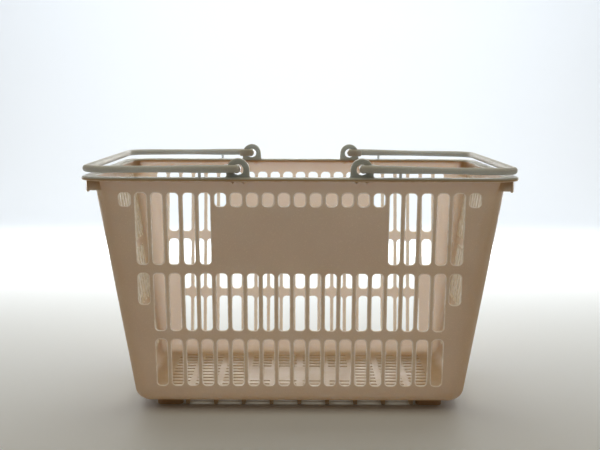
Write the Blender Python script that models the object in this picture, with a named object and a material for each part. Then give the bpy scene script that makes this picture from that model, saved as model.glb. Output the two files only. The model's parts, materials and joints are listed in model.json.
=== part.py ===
"""Hand-carried shopping basket with two folding handles: the solids, at rest, in metres with +Z up.

The real basket is three plastic mouldings: the body and its two handles. The body is split here where
its walls, rim, floor, ears and skirts meet, so that each node is a simple solid and the inside stays open.
The origin is on the table, below the middle of the basket, and the long side runs along X.
"""

from math import asin, atan, cos, pi, radians, sin, sqrt, tan

import bmesh
import bpy
from mathutils import Vector

# Overall shape
RIM_LENGTH = 0.481
RIM_DEPTH = 0.3378
RIM_TOP = 0.2717
RIM_THICKNESS = 0.004
RIM_CORNER_RADIUS = 0.032
RIM_EDGE_ROUND = 0.0014
RIM_STRAIGHT_IN_CORNER = 0.002  # straight stretch of flange at each end of a corner piece
BODY_LENGTH_AT_RIM = 0.4586
BODY_DEPTH_AT_RIM = 0.3146
BODY_BOTTOM = 0.0081
WALL = 0.0025
LEAN = 0.151  # how far a wall leans out for each metre of height
CORNER_RADIUS_AT_RIM = 0.0285
CORNER_RADIUS_AT_TABLE = 0.021
BOTTOM_ROUND = 0.015
GAP = 0.0003  # left between touching pieces
CORNER_STEPS = 5
BOTTOM_STEPS = 4

# Openings in the walls
SLOT_PITCH = 0.0174
SLOT_WIDTH = 0.0124
SLOT_CORNER = 0.0034
TOP_ROW_TOP = 0.2541
SQUARE_BOTTOM = 0.2391
TOP_ROW_BOTTOM = 0.1733
MIDDLE_ROW_TOP = 0.1627
SHORT_SLOT_BOTTOM = 0.1266
MIDDLE_ROW_BOTTOM = 0.0955
BOTTOM_ROW_TOP = 0.0851
BOTTOM_ROW_BOTTOM = 0.0290
SIDE_TOP_COLUMNS = 11
SIDE_SQUARE_COLUMNS = 5
SIDE_SHORT_COLUMN = 10
SIDE_BOTTOM_COLUMNS = 9
END_TOP_COLUMNS = 6
END_LOWER_COLUMNS = 5

# Floor, its drain slots, skid ribs and feet
DRAIN_LENGTH = 0.026
DRAIN_WIDTH = 0.005
DRAIN_PITCH = 0.014
DRAIN_ROWS = 14
RIB_PITCH = 0.0327
RIB_WIDTH = 0.0045
RIB_HALF_LENGTH = 0.098
RIBS_EACH_SIDE = 4
PANEL_HALF_LENGTH = 0.064
PANEL_HALF_DEPTH = 0.033
FOOT_LENGTH = 0.030
FOOT_DEPTH = 0.014
FOOT_CENTRE = (0.1515, 0.0930)
FOOT_CORNER = 0.005

# Ears that carry the handles
EAR_X = 0.0672
EAR_Y = 0.1566
EAR_THICKNESS = 0.0052
EAR_RADIUS = 0.0124
EAR_BASE_HALF_WIDTH = 0.0128
EAR_HOLE_HEIGHT = 0.0083
EAR_HOLE_RADIUS = 0.0059
EAR_STEPS = 12
WEB_SPREAD = 0.006
WEB_WIDTH = 0.0022
WEB_HEIGHT = 0.0035
WEB_REACH = 0.006

# Skirts under the rim, at the two ends: each goes a little way round both corners
SKIRT_INSET = 0.0048
SKIRT_THICKNESS = 0.0027
SKIRT_DROP = 0.0130
SKIRT_RIB_DROP = 0.0116
SKIRT_RIB_WIDTH = 0.0025
SKIRT_END_Y = 0.149
SKIRT_RIBS = 6
SKIRT_STEPS = 2

# Handles
BAR_RADIUS = 0.0039
BAR_RADIUS_AT_HINGE = 0.0043
BAR_RADIUS_AT_WAIST = 0.0036
THICK_OUTWARD = 0.045  # the arm is thick as far as this from the hinge
WAIST_OUTWARD = 0.090  # and thinnest here
BAR_SIDES = 10
BAR_Y = 0.1642
BAR_REACH = 0.2352
BAR_END = 0.0026  # how far the bar runs past the hinge, towards the middle
BAR_ABOVE_HINGE = 0.0006
BEND_RADIUS = 0.026
BEND_STEPS = 5
LEFT_DROOP = radians(0.3)  # how far each folded handle hangs below level
RIGHT_DROOP = radians(0.85)
HINGE_OUTWARD = 0.0012  # from the middle of the ear's hole to the hinge
HINGE_UPWARD = 0.0006
PIN_RADIUS = 0.0042
PIN_STEPS = 10
KEY_OUTWARD = 0.0158
KEY_INWARD = 0.0035
KEY_HEIGHT = 0.0092
KEY_THICKNESS = 0.0042
KEY_CLEARANCE = 0.0006
PEG_OUTWARD = 0.0398
PEG_RADIUS = 0.0017
PEG_Y = 0.1652
PEG_STEPS = 8

# Colours, linear
BODY_COLOUR = (0.50, 0.43, 0.335, 1.0)
HANDLE_COLOUR = (0.42, 0.39, 0.33, 1.0)
PLASTIC_ROUGHNESS = 0.42

LEAN_ANGLE = atan(LEAN)
HINGE_X = EAR_X + HINGE_OUTWARD
HINGE_Z = RIM_TOP + EAR_HOLE_HEIGHT + HINGE_UPWARD
UNDER_RIM = RIM_TOP - RIM_THICKNESS


def clear_scene():
    for obj in list(bpy.data.objects):
        bpy.data.objects.remove(obj)


def plastic(name, colour):
    material = bpy.data.materials.new(name + "_plastic")
    material.use_nodes = True
    shader = material.node_tree.nodes["Principled BSDF"]
    shader.inputs["Base Color"].default_value = colour
    shader.inputs["Roughness"].default_value = PLASTIC_ROUGHNESS
    shader.inputs["Metallic"].default_value = 0.0
    return material


def add_object(name, mesh_builder, colour=BODY_COLOUR, parent=None, location=(0, 0, 0)):
    """A named object from a bmesh, with its normals turned outwards and its own material."""
    bmesh.ops.recalc_face_normals(mesh_builder, faces=mesh_builder.faces)
    mesh = bpy.data.meshes.new(name)
    mesh_builder.to_mesh(mesh)
    mesh_builder.free()
    mesh.materials.append(plastic(name, colour))
    obj = bpy.data.objects.new(name, mesh)
    obj.location = location
    obj.parent = parent
    bpy.context.scene.collection.objects.link(obj)
    return obj


def add_helper(name, mesh_builder, parent=None, location=(0, 0, 0)):
    obj = add_object(name, mesh_builder, parent=parent, location=location)
    obj.hide_render = True
    obj.display_type = "WIRE"
    return obj


def combine(obj, helper, operation):
    modifier = obj.modifiers.new(helper.name, "BOOLEAN")
    modifier.operation = operation
    modifier.solver = "EXACT"
    modifier.object = helper


def add_grid_shell(builder, outer, inner):
    """A closed solid between two grids of points that have the same rows and columns."""
    rows, columns = len(outer), len(outer[0])
    skins = [[[builder.verts.new(p) for p in row] for row in grid] for grid in (outer, inner)]
    for skin in skins:
        for r in range(rows - 1):
            for c in range(columns - 1):
                builder.faces.new((skin[r][c], skin[r][c + 1], skin[r + 1][c + 1], skin[r + 1][c]))
    around = [(0, c) for c in range(columns)]
    around += [(r, columns - 1) for r in range(1, rows)]
    around += [(rows - 1, c) for c in range(columns - 2, -1, -1)]
    around += [(r, 0) for r in range(rows - 2, 0, -1)]
    for (r, c), (r2, c2) in zip(around, around[1:] + around[:1]):
        builder.faces.new((skins[0][r][c], skins[0][r2][c2], skins[1][r2][c2], skins[1][r][c]))


def add_prism(builder, outline, start, end):
    """A closed prism: start and end turn each point of the outline into a point of each end face."""
    first = [builder.verts.new(start(p)) for p in outline]
    last = [builder.verts.new(end(p)) for p in outline]
    builder.faces.new(first)
    builder.faces.new(last)
    for i in range(len(outline)):
        j = (i + 1) % len(outline)
        builder.faces.new((first[i], first[j], last[j], last[i]))


def add_box(builder, low, high):
    outline = [(low[0], low[1]), (high[0], low[1]), (high[0], high[1]), (low[0], high[1])]
    add_prism(builder, outline, lambda p: (*p, low[2]), lambda p: (*p, high[2]))


def circle(radius, steps, centre=(0.0, 0.0)):
    turns = [2 * pi * (i + 0.5) / steps for i in range(steps)]
    return [(centre[0] + radius * cos(t), centre[1] + radius * sin(t)) for t in turns]


def cut_corner_box(low, high, cut):
    """A rectangle from low to high with its four corners cut off."""
    (x0, y0), (x1, y1) = low, high
    return [(x0 + cut, y0), (x1 - cut, y0), (x1, y0 + cut), (x1, y1 - cut),
            (x1 - cut, y1), (x0 + cut, y1), (x0, y1 - cut), (x0, y0 + cut)]


# The body's skin, as stations down the wall and round the bottom edge


def corner_radius(z):
    share = z / RIM_TOP
    return CORNER_RADIUS_AT_TABLE + share * (CORNER_RADIUS_AT_RIM - CORNER_RADIUS_AT_TABLE)


def wall_station(z, level_inner):
    """(inset of the outer skin, its height, inset of the inner skin, its height, corner centre's height)."""
    inset = LEAN * (RIM_TOP - z)
    if level_inner:
        return inset, z, inset + WALL / cos(LEAN_ANGLE), z, z
    return inset, z, inset + WALL * cos(LEAN_ANGLE), z + WALL * sin(LEAN_ANGLE), z


FOLD_CENTRE_Z = BODY_BOTTOM + BOTTOM_ROUND
FOLD_CENTRE_INSET = LEAN * (RIM_TOP - FOLD_CENTRE_Z) + BOTTOM_ROUND / cos(LEAN_ANGLE)
FOLD_TOP = FOLD_CENTRE_Z - BOTTOM_ROUND * sin(LEAN_ANGLE)


def fold_station(step):
    """A station on the rounded bottom edge: step 0 is the wall's foot, BOTTOM_STEPS the floor's edge."""
    turn = -LEAN_ANGLE - (pi / 2 - LEAN_ANGLE) * step / BOTTOM_STEPS
    outer = (FOLD_CENTRE_INSET - BOTTOM_ROUND * cos(turn), FOLD_CENTRE_Z + BOTTOM_ROUND * sin(turn))
    inner_round = BOTTOM_ROUND - WALL
    inner = (FOLD_CENTRE_INSET - inner_round * cos(turn), FOLD_CENTRE_Z + inner_round * sin(turn))
    return (*outer, *inner, FOLD_TOP)


def corner_centre(centre_z):
    """The middle of the plan's corner arc, in the corner where X and Y are positive."""
    inset = LEAN * (RIM_TOP - centre_z)
    radius = corner_radius(centre_z)
    return (BODY_LENGTH_AT_RIM / 2 - inset - radius, BODY_DEPTH_AT_RIM / 2 - inset - radius)


def side_grids(stations):
    """Outer and inner points of the wall that faces +Y, between its two corners."""
    grids = [], []
    for outer_inset, outer_z, inner_inset, inner_z, centre_z in stations:
        reach = corner_centre(centre_z)[0] - GAP / 2
        for grid, inset, z in zip(grids, (outer_inset, inner_inset), (outer_z, inner_z)):
            grid.append([(x, BODY_DEPTH_AT_RIM / 2 - inset, z) for x in (-reach, reach)])
    return grids


def end_grids(stations):
    """Outer and inner points of the wall that faces +X, between its two corners."""
    grids = [], []
    for outer_inset, outer_z, inner_inset, inner_z, centre_z in stations:
        reach = corner_centre(centre_z)[1] - GAP / 2
        for grid, inset, z in zip(grids, (outer_inset, inner_inset), (outer_z, inner_z)):
            grid.append([(BODY_LENGTH_AT_RIM / 2 - inset, y, z) for y in (-reach, reach)])
    return grids


def corner_grids(stations):
    """Outer and inner points of the corner where X and Y are positive, half a gap off the walls."""
    grids = [], []
    for outer_inset, outer_z, inner_inset, inner_z, centre_z in stations:
        centre = corner_centre(centre_z)
        for grid, inset, z in zip(grids, (outer_inset, inner_inset), (outer_z, inner_z)):
            radius = BODY_LENGTH_AT_RIM / 2 - inset - centre[0]
            turns = [pi / 2 * i / CORNER_STEPS for i in range(CORNER_STEPS + 1)]
            grid.append([(centre[0] + max(radius * cos(t), GAP / 2),
                          centre[1] + max(radius * sin(t), GAP / 2), z) for t in turns])
    return grids


def mirrored(grids, side_x, side_y):
    return [[[(side_x * x, side_y * y, z) for x, y, z in row] for row in grid] for grid in grids]


def shell(grids):
    builder = bmesh.new()
    add_grid_shell(builder, *grids)
    return builder


WALL_STATIONS = [wall_station(UNDER_RIM - GAP, True), wall_station(FOLD_TOP + GAP, False)]
FOLD_STATIONS = [fold_station(i) for i in range(BOTTOM_STEPS + 1)]


# Openings


def side_openings():
    """(column, bottom, top) of each opening in a long wall."""
    for column in range(-SIDE_TOP_COLUMNS, SIDE_TOP_COLUMNS + 1):
        square = abs(column) <= SIDE_SQUARE_COLUMNS or abs(column) == SIDE_TOP_COLUMNS
        yield column, SQUARE_BOTTOM if square else TOP_ROW_BOTTOM, TOP_ROW_TOP
    for column in range(-SIDE_SHORT_COLUMN, SIDE_SHORT_COLUMN + 1):
        short = abs(column) == SIDE_SHORT_COLUMN
        yield column, SHORT_SLOT_BOTTOM if short else MIDDLE_ROW_BOTTOM, MIDDLE_ROW_TOP
    for column in range(-SIDE_BOTTOM_COLUMNS, SIDE_BOTTOM_COLUMNS + 1):
        yield column, BOTTOM_ROW_BOTTOM, BOTTOM_ROW_TOP


def end_openings():
    """(column, bottom, top) of each opening in an end wall."""
    rows = ((END_TOP_COLUMNS, TOP_ROW_BOTTOM, TOP_ROW_TOP),
            (END_LOWER_COLUMNS, MIDDLE_ROW_BOTTOM, MIDDLE_ROW_TOP),
            (END_LOWER_COLUMNS, BOTTOM_ROW_BOTTOM, BOTTOM_ROW_TOP))
    for widest, bottom, top in rows:
        for column in range(-widest, widest + 1):
            yield column, bottom, top


def opening_cutter(name, openings, along_x, side):
    """One prism for each opening, through the wall on that side."""
    outermost = BODY_DEPTH_AT_RIM / 2 + RIM_THICKNESS
    innermost = BODY_DEPTH_AT_RIM / 4
    if not along_x:
        outermost += (BODY_LENGTH_AT_RIM - BODY_DEPTH_AT_RIM) / 2
    builder = bmesh.new()
    for column, bottom, top in openings:
        middle = column * SLOT_PITCH
        low = (middle - SLOT_WIDTH / 2, bottom)
        high = (middle + SLOT_WIDTH / 2, top)
        outline = cut_corner_box(low, high, SLOT_CORNER)
        if along_x:
            add_prism(builder, outline, lambda p: (p[0], side * innermost, p[1]),
                      lambda p: (p[0], side * outermost, p[1]))
        else:
            add_prism(builder, outline, lambda p: (side * innermost, p[0], p[1]),
                      lambda p: (side * outermost, p[0], p[1]))
    return add_helper(name, builder)


# Body pieces


def make_side_wall(name, side, parent):
    wall = add_object(name, shell(mirrored(side_grids(WALL_STATIONS), 1, side)), parent=parent)
    combine(wall, opening_cutter(name + "_openings", side_openings(), True, side), "DIFFERENCE")


def make_end_wall(name, side, parent):
    wall = add_object(name, shell(mirrored(end_grids(WALL_STATIONS), side, 1)), parent=parent)
    combine(wall, opening_cutter(name + "_openings", end_openings(), False, side), "DIFFERENCE")


def make_corner(place, side_x, side_y, parent):
    for name, stations in (("corner_wall_", WALL_STATIONS), ("base_corner_", FOLD_STATIONS)):
        grids = mirrored(corner_grids(stations), side_x, side_y)
        add_object(name + place, shell(grids), parent=parent)


def make_base_edges(parent):
    for name, side in (("base_edge_front", -1), ("base_edge_back", 1)):
        add_object(name, shell(mirrored(side_grids(FOLD_STATIONS), 1, side)), parent=parent)
    for name, side in (("base_edge_left", -1), ("base_edge_right", 1)):
        add_object(name, shell(mirrored(end_grids(FOLD_STATIONS), side, 1)), parent=parent)


def floor_outline():
    """The floor's plan, a gap inside the rounded bottom edge."""
    centre = corner_centre(FOLD_TOP)
    edge_inset = FOLD_STATIONS[-1][0]
    radius = BODY_LENGTH_AT_RIM / 2 - edge_inset - centre[0] - GAP
    points = []
    for quarter, (side_x, side_y) in enumerate(((1, 1), (-1, 1), (-1, -1), (1, -1))):
        for i in range(CORNER_STEPS + 1):
            turn = pi / 2 * (quarter + i / CORNER_STEPS)
            points.append((side_x * centre[0] + radius * cos(turn), side_y * centre[1] + radius * sin(turn)))
    return points


def drain_cutter():
    """Drain slots between the ribs, except over the plain middle of the floor."""
    builder = bmesh.new()
    low, high = BODY_BOTTOM - WALL, BODY_BOTTOM + 2 * WALL
    for column in range(-RIBS_EACH_SIDE - 1, RIBS_EACH_SIDE + 1):
        x = (column + 0.5) * RIB_PITCH
        for row in range(DRAIN_ROWS):
            y = (row - (DRAIN_ROWS - 1) / 2) * DRAIN_PITCH
            if abs(x) < PANEL_HALF_LENGTH and abs(y) < PANEL_HALF_DEPTH:
                continue
            add_box(builder, (x - DRAIN_LENGTH / 2, y - DRAIN_WIDTH / 2, low),
                    (x + DRAIN_LENGTH / 2, y + DRAIN_WIDTH / 2, high))
    return add_helper("base_floor_drains", builder)


def rib_helper():
    builder = bmesh.new()
    for column in range(-RIBS_EACH_SIDE, RIBS_EACH_SIDE + 1):
        x = column * RIB_PITCH
        add_box(builder, (x - RIB_WIDTH / 2, -RIB_HALF_LENGTH, 0.0),
                (x + RIB_WIDTH / 2, RIB_HALF_LENGTH, BODY_BOTTOM + WALL / 2))
    return add_helper("base_floor_ribs", builder)


def make_floor(parent):
    builder = bmesh.new()
    add_prism(builder, floor_outline(), lambda p: (*p, BODY_BOTTOM), lambda p: (*p, BODY_BOTTOM + WALL))
    base = add_object("base_floor", builder, parent=parent)
    combine(base, rib_helper(), "UNION")
    combine(base, drain_cutter(), "DIFFERENCE")


def make_foot(place, side_x, side_y, parent):
    builder = bmesh.new()
    corner = (FOOT_LENGTH / 2, FOOT_DEPTH / 2)
    outline = cut_corner_box((-corner[0], -corner[1]), corner, FOOT_CORNER)
    add_prism(builder, outline, lambda p: (*p, 0.0), lambda p: (*p, BODY_BOTTOM - GAP))
    location = (side_x * FOOT_CENTRE[0], side_y * FOOT_CENTRE[1], 0.0)
    add_object("foot_" + place, builder, parent=parent, location=location)


# Rim


def rim_profile():
    """The flange's section: the edge each point is measured from, how far inside it, and its height."""
    low, mid, top = UNDER_RIM, RIM_TOP - RIM_EDGE_ROUND, RIM_TOP
    return [("inner", 0.0, low), ("inner", 0.0, mid), ("inner", RIM_EDGE_ROUND, top),
            ("outer", RIM_EDGE_ROUND, top), ("outer", 0.0, mid),
            ("outer", 0.0, low + RIM_EDGE_ROUND), ("outer", RIM_EDGE_ROUND, low)]


def rim_edge(edge, offset):
    """(half length, half depth, corner radius) of the rounded rectangle at that place across the flange."""
    if edge == "outer":
        return RIM_LENGTH / 2 - offset, RIM_DEPTH / 2 - offset, RIM_CORNER_RADIUS - offset
    inset = LEAN * RIM_THICKNESS + WALL / cos(LEAN_ANGLE) - offset
    return (BODY_LENGTH_AT_RIM / 2 - inset, BODY_DEPTH_AT_RIM / 2 - inset,
            CORNER_RADIUS_AT_RIM - inset)


def rim_section(turn):
    """The flange's cross-section at a turn round the corner where X and Y are positive."""
    points = []
    for edge, offset, z in rim_profile():
        half_length, half_depth, radius = rim_edge(edge, offset)
        x = half_length - radius + radius * cos(turn)
        y = half_depth - radius + radius * sin(turn)
        points.append((x, y, z))
    return points


def rim_side_section(shift):
    """The cross-section of the flange along X, just before the corner, moved along X by shift."""
    x = BODY_LENGTH_AT_RIM / 2 - CORNER_RADIUS_AT_RIM - RIM_STRAIGHT_IN_CORNER + shift
    return [(x, y, z) for _, y, z in rim_section(pi / 2)]


def rim_end_section(shift):
    """The cross-section of the flange along Y, just before the corner, moved along Y by shift."""
    y = BODY_DEPTH_AT_RIM / 2 - CORNER_RADIUS_AT_RIM - RIM_STRAIGHT_IN_CORNER + shift
    return [(x, y, z) for x, _, z in rim_section(0.0)]


def add_swept(builder, sections):
    """A closed solid through a row of equal closed sections, with flat ends."""
    rings = [[builder.verts.new(p) for p in section] for section in sections]
    count = len(rings[0])
    for ring, following in zip(rings, rings[1:]):
        for i in range(count):
            j = (i + 1) % count
            builder.faces.new((ring[i], ring[j], following[j], following[i]))
    builder.faces.new(rings[0])
    builder.faces.new(rings[-1])


def make_rim(parent):
    for name, side in (("rim_front", -1), ("rim_back", 1)):
        section = [(x, side * y, z) for x, y, z in rim_side_section(-GAP / 2)]
        builder = bmesh.new()
        add_swept(builder, [section, [(-x, y, z) for x, y, z in section]])
        add_object(name, builder, parent=parent)
    for name, side in (("rim_left", -1), ("rim_right", 1)):
        section = [(side * x, y, z) for x, y, z in rim_end_section(-GAP / 2)]
        builder = bmesh.new()
        add_swept(builder, [section, [(x, -y, z) for x, y, z in section]])
        add_object(name, builder, parent=parent)


def make_rim_corner(place, side_x, side_y, parent):
    arcs = [rim_section(pi / 2 * i / CORNER_STEPS) for i in range(CORNER_STEPS + 1)]
    sections = [rim_end_section(GAP / 2), *arcs, rim_side_section(GAP / 2)]
    sections = [[(side_x * x, side_y * y, z) for x, y, z in section] for section in sections]
    builder = bmesh.new()
    add_swept(builder, sections)
    add_object("rim_corner_" + place, builder, parent=parent)


def make_ear(place, side_x, side_y, parent):
    """An upright ear on the rim, with the round hole that a handle's pin turns in."""
    half = EAR_THICKNESS / 2
    outline = [(-EAR_BASE_HALF_WIDTH, GAP)]
    for i in range(EAR_STEPS + 1):
        turn = pi - pi * i / EAR_STEPS
        outline.append((EAR_RADIUS * cos(turn), EAR_HOLE_HEIGHT + EAR_RADIUS * sin(turn)))
    outline.append((EAR_BASE_HALF_WIDTH, GAP))
    location = (side_x * EAR_X, side_y * EAR_Y, RIM_TOP)
    builder = bmesh.new()
    add_prism(builder, outline, lambda p: (p[0], -half, p[1]), lambda p: (p[0], half, p[1]))
    ear = add_object("handle_ear_" + place, builder, parent=parent, location=location)
    cutter = bmesh.new()
    hole = circle(EAR_HOLE_RADIUS, EAR_STEPS, (0.0, EAR_HOLE_HEIGHT))
    add_prism(cutter, hole, lambda p: (p[0], -2 * half, p[1]), lambda p: (p[0], 2 * half, p[1]))
    combine(ear, add_helper("handle_ear_" + place + "_hole", cutter, parent, location), "DIFFERENCE")


def make_ear_webs(place, side_x, side_y, parent):
    """Two small three-cornered webs below an ear, from the wall out under the rim."""
    top = UNDER_RIM - GAP
    root = BODY_DEPTH_AT_RIM / 2 - LEAN * (RIM_TOP - top) + GAP / cos(LEAN_ANGLE)
    outline = [(root, top), (root + WEB_REACH, top), (root - LEAN * WEB_HEIGHT, top - WEB_HEIGHT)]
    for name, offset in (("inboard_", -WEB_SPREAD), ("outboard_", WEB_SPREAD)):
        near = side_x * (EAR_X + offset - WEB_WIDTH / 2)
        far = side_x * (EAR_X + offset + WEB_WIDTH / 2)
        builder = bmesh.new()
        add_prism(builder, outline, lambda p: (near, side_y * p[0], p[1]),
                  lambda p: (far, side_y * p[0], p[1]))
        add_object("ear_web_" + name + place, builder, parent=parent)


def past_corner(y, centre, radius):
    """How far out along X a rounded end reaches at that y."""
    beyond = max(abs(y) - centre[1], 0.0)
    return centre[0] + sqrt(radius * radius - beyond * beyond)


RIM_CENTRE = (RIM_LENGTH / 2 - RIM_CORNER_RADIUS, RIM_DEPTH / 2 - RIM_CORNER_RADIUS)


def skirt_plan(inset):
    """One face of the skirt from above, in the half where X is positive, parallel to the rim's edge."""
    radius = RIM_CORNER_RADIUS - inset
    reach = asin((SKIRT_END_Y - RIM_CENTRE[1]) / (RIM_CORNER_RADIUS - SKIRT_INSET))
    turns = [reach * (1 - i / SKIRT_STEPS) for i in range(SKIRT_STEPS + 1)]
    half = [(RIM_CENTRE[0] + radius * cos(t), RIM_CENTRE[1] + radius * sin(t)) for t in turns]
    return half + [(x, -y) for x, y in reversed(half)]


def add_skirt_web(builder, y, side):
    """A web from the skirt back to the body's outer face, centred on that y."""
    top = UNDER_RIM - 2 * GAP
    bottom = UNDER_RIM - SKIRT_RIB_DROP
    skirt_radius = RIM_CORNER_RADIUS - SKIRT_INSET - SKIRT_THICKNESS / 2
    rows = []
    for z in (bottom, top):
        for edge in (y - SKIRT_RIB_WIDTH / 2, y + SKIRT_RIB_WIDTH / 2):
            root = past_corner(edge, corner_centre(z), corner_radius(z)) + 1.5 * GAP
            tip = past_corner(edge, RIM_CENTRE, skirt_radius)
            rows.append([builder.verts.new((side * x, edge, z)) for x in (root, tip)])
    (a, b), (c, d), (e, f), (g, h) = rows
    for face in ((a, b, d, c), (e, g, h, f), (a, e, f, b), (c, d, h, g), (a, c, g, e), (b, f, h, d)):
        builder.faces.new(face)


def make_end_skirt(name, side, parent):
    """A skirt that hangs from the rim at one end, with webs back to the body that stiffen it."""
    heights = (UNDER_RIM - SKIRT_DROP, UNDER_RIM - GAP)
    grids = [[[(x, y, z) for x, y in skirt_plan(inset)] for z in heights]
             for inset in (SKIRT_INSET, SKIRT_INSET + SKIRT_THICKNESS)]
    skirt = add_object(name, shell(mirrored(grids, side, 1)), parent=parent)
    webs = bmesh.new()
    outermost = SKIRT_END_Y - SKIRT_RIB_WIDTH / 2
    for i in range(SKIRT_RIBS):
        add_skirt_web(webs, outermost * (2 * i / (SKIRT_RIBS - 1) - 1), side)
    combine(skirt, add_helper(name + "_webs", webs, parent), "UNION")


# Handles


def bar_path():
    """The handle's centreline as (outward from the hinge, y, radius), from the back ear to the front."""
    corner = (BAR_REACH - HINGE_X - BEND_RADIUS, BAR_Y - BEND_RADIUS)
    half = [(-BAR_END, BAR_Y, BAR_RADIUS_AT_HINGE), (THICK_OUTWARD, BAR_Y, BAR_RADIUS_AT_HINGE),
            (WAIST_OUTWARD, BAR_Y, BAR_RADIUS_AT_WAIST)]
    for i in range(BEND_STEPS + 1):
        turn = pi / 2 - pi / 2 * i / BEND_STEPS
        half.append((corner[0] + BEND_RADIUS * cos(turn), corner[1] + BEND_RADIUS * sin(turn), BAR_RADIUS))
    return half + [(x, -y, radius) for x, y, radius in reversed(half)]


def bar_sections(side, droop):
    """A round section at each point of the path, square to it."""
    path = [(Vector((x, y)), radius) for x, y, radius in bar_path()]
    sections = []
    for i, (point, radius) in enumerate(path):
        before = path[max(i - 1, 0)][0]
        after = path[min(i + 1, len(path) - 1)][0]
        arriving = (point - before).normalized()
        leaving = (after - point).normalized()
        across = (arriving + leaving).normalized().orthogonal()
        miter = 1.0 / across.dot((leaving if leaving.length else arriving).orthogonal())
        ring = []
        for u, w in circle(radius, BAR_SIDES):
            place = point + across * u * miter
            ring.append((side * place.x, place.y, BAR_ABOVE_HINGE + w - place.x * tan(droop)))
        sections.append(ring)
    return sections


def pin_helper(name, side, location):
    """The two hinge pins, from inside the bar to inside the key."""
    builder = bmesh.new()
    key_face = EAR_Y - EAR_THICKNESS / 2 - KEY_CLEARANCE
    for end in (-1, 1):
        add_prism(builder, circle(PIN_RADIUS, PIN_STEPS),
                  lambda p: (side * p[0], end * (key_face - KEY_THICKNESS / 2), p[1]),
                  lambda p: (side * p[0], end * BAR_Y, p[1]))
    return add_helper(name + "_pins", builder, location=location)


def key_helper(name, side, location):
    """The two flat keys that hold the pins in their ears, on the ears' inner faces."""
    builder = bmesh.new()
    outline = cut_corner_box((-KEY_INWARD, -KEY_HEIGHT / 2), (KEY_OUTWARD, KEY_HEIGHT / 2), KEY_HEIGHT / 4)
    key_face = EAR_Y - EAR_THICKNESS / 2 - KEY_CLEARANCE
    for end in (-1, 1):
        add_prism(builder, outline, lambda p: (side * p[0], end * (key_face - KEY_THICKNESS), p[1]),
                  lambda p: (side * p[0], end * key_face, p[1]))
    return add_helper(name + "_keys", builder, location=location)


def peg_helper(name, side, location):
    """The two pegs that the folded handle rests on, down to the rim."""
    builder = bmesh.new()
    for end in (-1, 1):
        outline = circle(PEG_RADIUS, PEG_STEPS, (side * PEG_OUTWARD, end * PEG_Y))
        add_prism(builder, outline, lambda p: (*p, RIM_TOP + GAP - HINGE_Z), lambda p: (*p, BAR_ABOVE_HINGE))
    return add_helper(name + "_pegs", builder, location=location)


def make_handle(name, side, droop):
    """A U-shaped handle, folded flat over the rim. Its origin is on its hinge's axis."""
    location = (side * HINGE_X, 0.0, HINGE_Z)
    builder = bmesh.new()
    add_swept(builder, bar_sections(side, droop))
    handle = add_object(name, builder, colour=HANDLE_COLOUR, location=location)
    combine(handle, pin_helper(name, side, location), "UNION")
    combine(handle, key_helper(name, side, location), "UNION")
    combine(handle, peg_helper(name, side, location), "UNION")


def make_basket():
    body = bpy.data.objects.new("basket_body", None)
    bpy.context.scene.collection.objects.link(body)
    make_side_wall("front_wall", -1, body)
    make_side_wall("back_wall", 1, body)
    make_end_wall("left_end_wall", -1, body)
    make_end_wall("right_end_wall", 1, body)
    make_base_edges(body)
    make_floor(body)
    make_rim(body)
    make_end_skirt("left_end_skirt", -1, body)
    make_end_skirt("right_end_skirt", 1, body)
    for end_name, side_x in (("left", -1), ("right", 1)):
        for side_name, side_y in (("front", -1), ("back", 1)):
            place = side_name + "_" + end_name
            make_corner(place, side_x, side_y, body)
            make_rim_corner(place, side_x, side_y, body)
            make_ear(place, side_x, side_y, body)
            make_ear_webs(place, side_x, side_y, body)
            make_foot(place, side_x, side_y, body)
    make_handle("left_handle", -1, LEFT_DROOP)
    make_handle("right_handle", 1, RIGHT_DROOP)


clear_scene()
make_basket()
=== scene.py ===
"""Hand-carried shopping basket with two folding handles: the looks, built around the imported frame.

All lengths are in metres, in the frame's own coordinates: the origin is on the table below the middle of
the basket, the long side runs along X, and Z is up.
"""

import json
from math import asin, atan, cos, hypot, pi, radians, sin, sqrt, tan

import bmesh
import bpy
from mathutils import Matrix, Vector
from mathutils.geometry import delaunay_2d_cdt

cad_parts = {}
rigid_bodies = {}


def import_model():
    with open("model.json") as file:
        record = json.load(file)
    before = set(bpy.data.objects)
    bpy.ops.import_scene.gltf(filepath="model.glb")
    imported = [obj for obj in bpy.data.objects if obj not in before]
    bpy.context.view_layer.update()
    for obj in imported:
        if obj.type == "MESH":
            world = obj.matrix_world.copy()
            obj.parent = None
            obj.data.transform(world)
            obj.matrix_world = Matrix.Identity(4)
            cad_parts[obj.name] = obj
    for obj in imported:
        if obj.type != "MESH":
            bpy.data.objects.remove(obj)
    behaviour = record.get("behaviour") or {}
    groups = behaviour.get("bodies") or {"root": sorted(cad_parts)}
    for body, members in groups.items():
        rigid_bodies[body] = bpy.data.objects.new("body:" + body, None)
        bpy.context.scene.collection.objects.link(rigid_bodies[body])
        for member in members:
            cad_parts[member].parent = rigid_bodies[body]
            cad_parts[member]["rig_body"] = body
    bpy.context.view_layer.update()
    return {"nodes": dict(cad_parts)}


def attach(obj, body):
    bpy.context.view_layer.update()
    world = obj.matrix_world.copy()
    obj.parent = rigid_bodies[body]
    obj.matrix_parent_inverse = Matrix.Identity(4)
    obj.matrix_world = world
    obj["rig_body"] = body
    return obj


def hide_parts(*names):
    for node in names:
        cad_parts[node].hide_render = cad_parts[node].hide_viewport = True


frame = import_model()

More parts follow.
